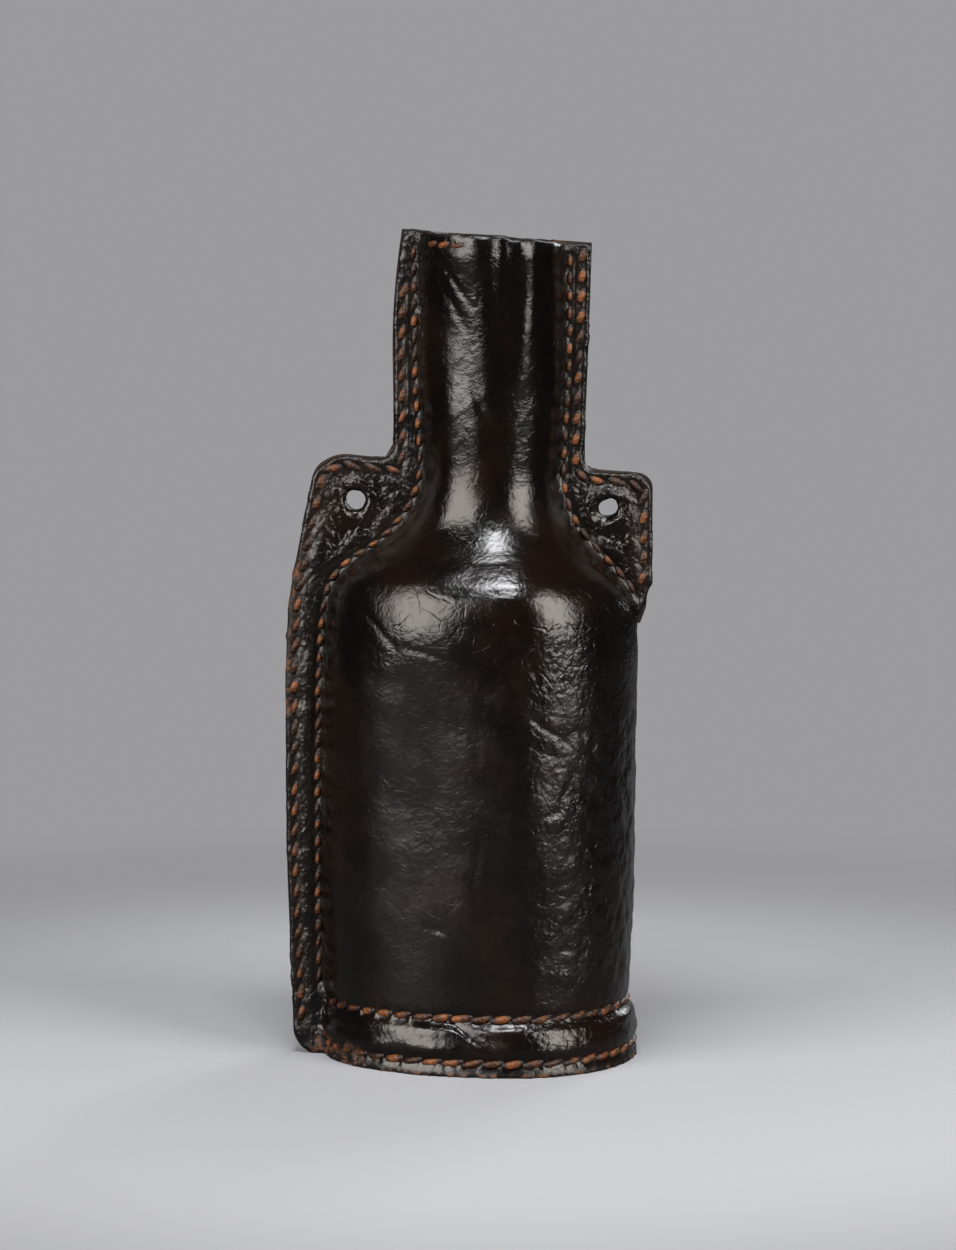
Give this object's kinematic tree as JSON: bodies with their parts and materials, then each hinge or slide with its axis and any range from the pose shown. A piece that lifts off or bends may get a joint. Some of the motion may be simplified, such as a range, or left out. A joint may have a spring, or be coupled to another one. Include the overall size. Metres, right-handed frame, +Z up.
{
  "type": "leather bottle",
  "caption": "Moulded black leather bottle with an oval body, round neck, sewn side flange, lugs with cord holes and a stitched foot band.",
  "frame": {"origin": "on the floor under the middle of the whole bottle", "axes": "+Z up through the mouth, front faces -Y, the long side flange is towards -X"},
  "size_m": [0.1076, 0.085, 0.2428],
  "materials": {
    "hide": "boiled black-brown leather, glossy, finely cracked",
    "welts": "cut edge of dark brown leather",
    "base": "boiled black-brown leather, satin",
    "pitch": "hard black pitch, glossy",
    "thread": "thick waxed thread, orange-brown"
  },
  "bodies": {
    "root": {"body_hide": "hide", "left_welt_front": "welts", "left_welt_back": "welts", "right_welt_front": "welts", "right_welt_back": "welts", "foot_welt": "welts", "base_pan": "base", "pitch_coat": "pitch", "left_outer_thread": "thread", "left_inner_thread": "thread", "right_outer_thread": "thread", "right_inner_thread": "thread", "foot_upper_thread": "thread", "foot_lower_thread": "thread", "mouth_thread": "thread"}
  },
  "joints": []
}
